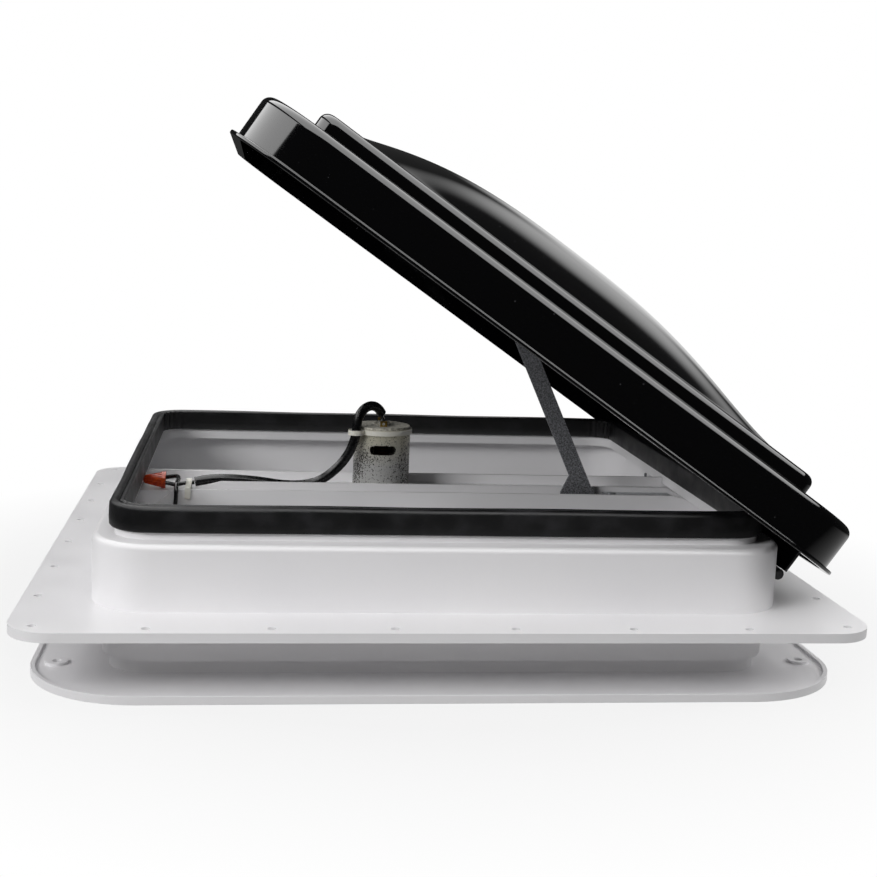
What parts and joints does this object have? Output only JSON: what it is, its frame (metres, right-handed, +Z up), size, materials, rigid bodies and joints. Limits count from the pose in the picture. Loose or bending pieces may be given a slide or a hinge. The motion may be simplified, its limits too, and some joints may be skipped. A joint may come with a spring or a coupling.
{
  "type": "caravan roof vent",
  "caption": "Caravan roof vent: a square screw-flanged frame with a tilt-up domed lid on a worm-driven lift arm, a motor fan on a cross bar, an insect screen and a sliding trim ring.",
  "frame": {"origin": "centre of the trim ring's underside", "axes": "+Z up through the roof, +X towards the hinge, +Y along the hinge"},
  "size_m": [0.4444, 0.44, 0.297],
  "materials": {
    "white_plastic": "semi-gloss moulded plastic",
    "black_lid_plastic": "mirror-gloss moulded plastic",
    "seal_rubber": "matte extruded rubber",
    "black_coated_metal": "satin black coating",
    "zinc_steel": "zinc plated",
    "phosphated_steel": "dark phosphated stamping",
    "motor_plastic": "moulded cream plastic",
    "nylon": "natural moulded nylon",
    "armature_iron": "lacquered laminations and windings",
    "brass": "stamped, dull",
    "black_sleeve": "satin extruded sleeve",
    "orange_plastic": "moulded, ribbed",
    "black_plastic": "fine textured moulding",
    "screen_aluminium": "punched sheet"
  },
  "bodies": {
    "base": {"base_frame": "white_plastic", "rim_seal": "seal_rubber", "cross_bar": "white_plastic", "bar_screws": "zinc_steel", "hinge_base_leaf": "black_coated_metal", "hinge_pin": "black_coated_metal", "hinge_screws": "zinc_steel", "pivot_pin": "zinc_steel", "pivot_clip": "zinc_steel", "operator_bracket": "zinc_steel", "operator_screws": "zinc_steel", "motor_can": "zinc_steel", "motor_end_cap": "motor_plastic", "motor_terminals": "brass", "motor_screws": "zinc_steel", "motor_tie": "nylon", "lead_sleeve": "black_sleeve", "motor_wires": "black_sleeve", "lead_clip": "nylon", "wire_connector": "orange_plastic", "motor_lead": "black_sleeve", "switch_wire": "black_sleeve", "switch_body": "black_plastic", "switch_terminals": "brass", "screen_frame": "white_plastic", "screen_mesh": "screen_aluminium", "screen_screws": "zinc_steel"},
    "lid": {"lid_shell": "black_lid_plastic", "hinge_lid_leaf": "black_coated_metal", "lid_rivets": "black_coated_metal", "lid_track": "zinc_steel", "track_screws": "zinc_steel"},
    "arm": {"lift_arm": "phosphated_steel", "slider_pin": "zinc_steel"},
    "crank": {"worm_shaft": "zinc_steel", "shaft_clip": "zinc_steel", "crank_knob": "white_plastic", "knob_screw": "zinc_steel"},
    "fan": {"motor_shaft": "zinc_steel", "motor_armature": "armature_iron", "fan_blade": "white_plastic"},
    "rocker": {"switch_rocker": "black_plastic"},
    "ring": {"trim_ring": "white_plastic"}
  },
  "joints": [
    {"name": "lid_hinge", "type": "hinge", "parent": "base", "child": "lid", "pos_m": [0.1887, 0, 0.052], "axis": [0, 1, 0], "range_deg": [-34.2, 0]},
    {"name": "arm_pivot", "type": "hinge", "parent": "base", "child": "arm", "pos_m": [0.104, -0.02665, 0.062], "axis": [0, 1, 0], "range_deg": [-55.9, 0]},
    {"name": "crank_turn", "type": "hinge", "parent": "base", "child": "crank", "pos_m": [0.1242, -0.02665, 0.03], "axis": [0, 0, 1], "range_deg": [-1674, 0]},
    {"name": "fan_spin", "type": "hinge", "parent": "base", "child": "fan", "pos_m": [-0.021, 0, 0.0465], "axis": [0, 0, 1], "continuous": true},
    {"name": "switch_tip", "type": "hinge", "parent": "base", "child": "rocker", "pos_m": [-0.149, -0.0518, 0.0366], "axis": [0, 1, 0], "range_deg": [-16, 0]},
    {"name": "ring_slide", "type": "slide", "parent": "base", "child": "ring", "axis": [0, 0, 1], "range_m": [-0.012, 0]}
  ],
  "couplings": [
    {"joint": "arm_pivot", "follows": "lid_hinge", "ratio": 1.6306},
    {"joint": "crank_turn", "follows": "lid_hinge", "ratio": 48.918}
  ]
}
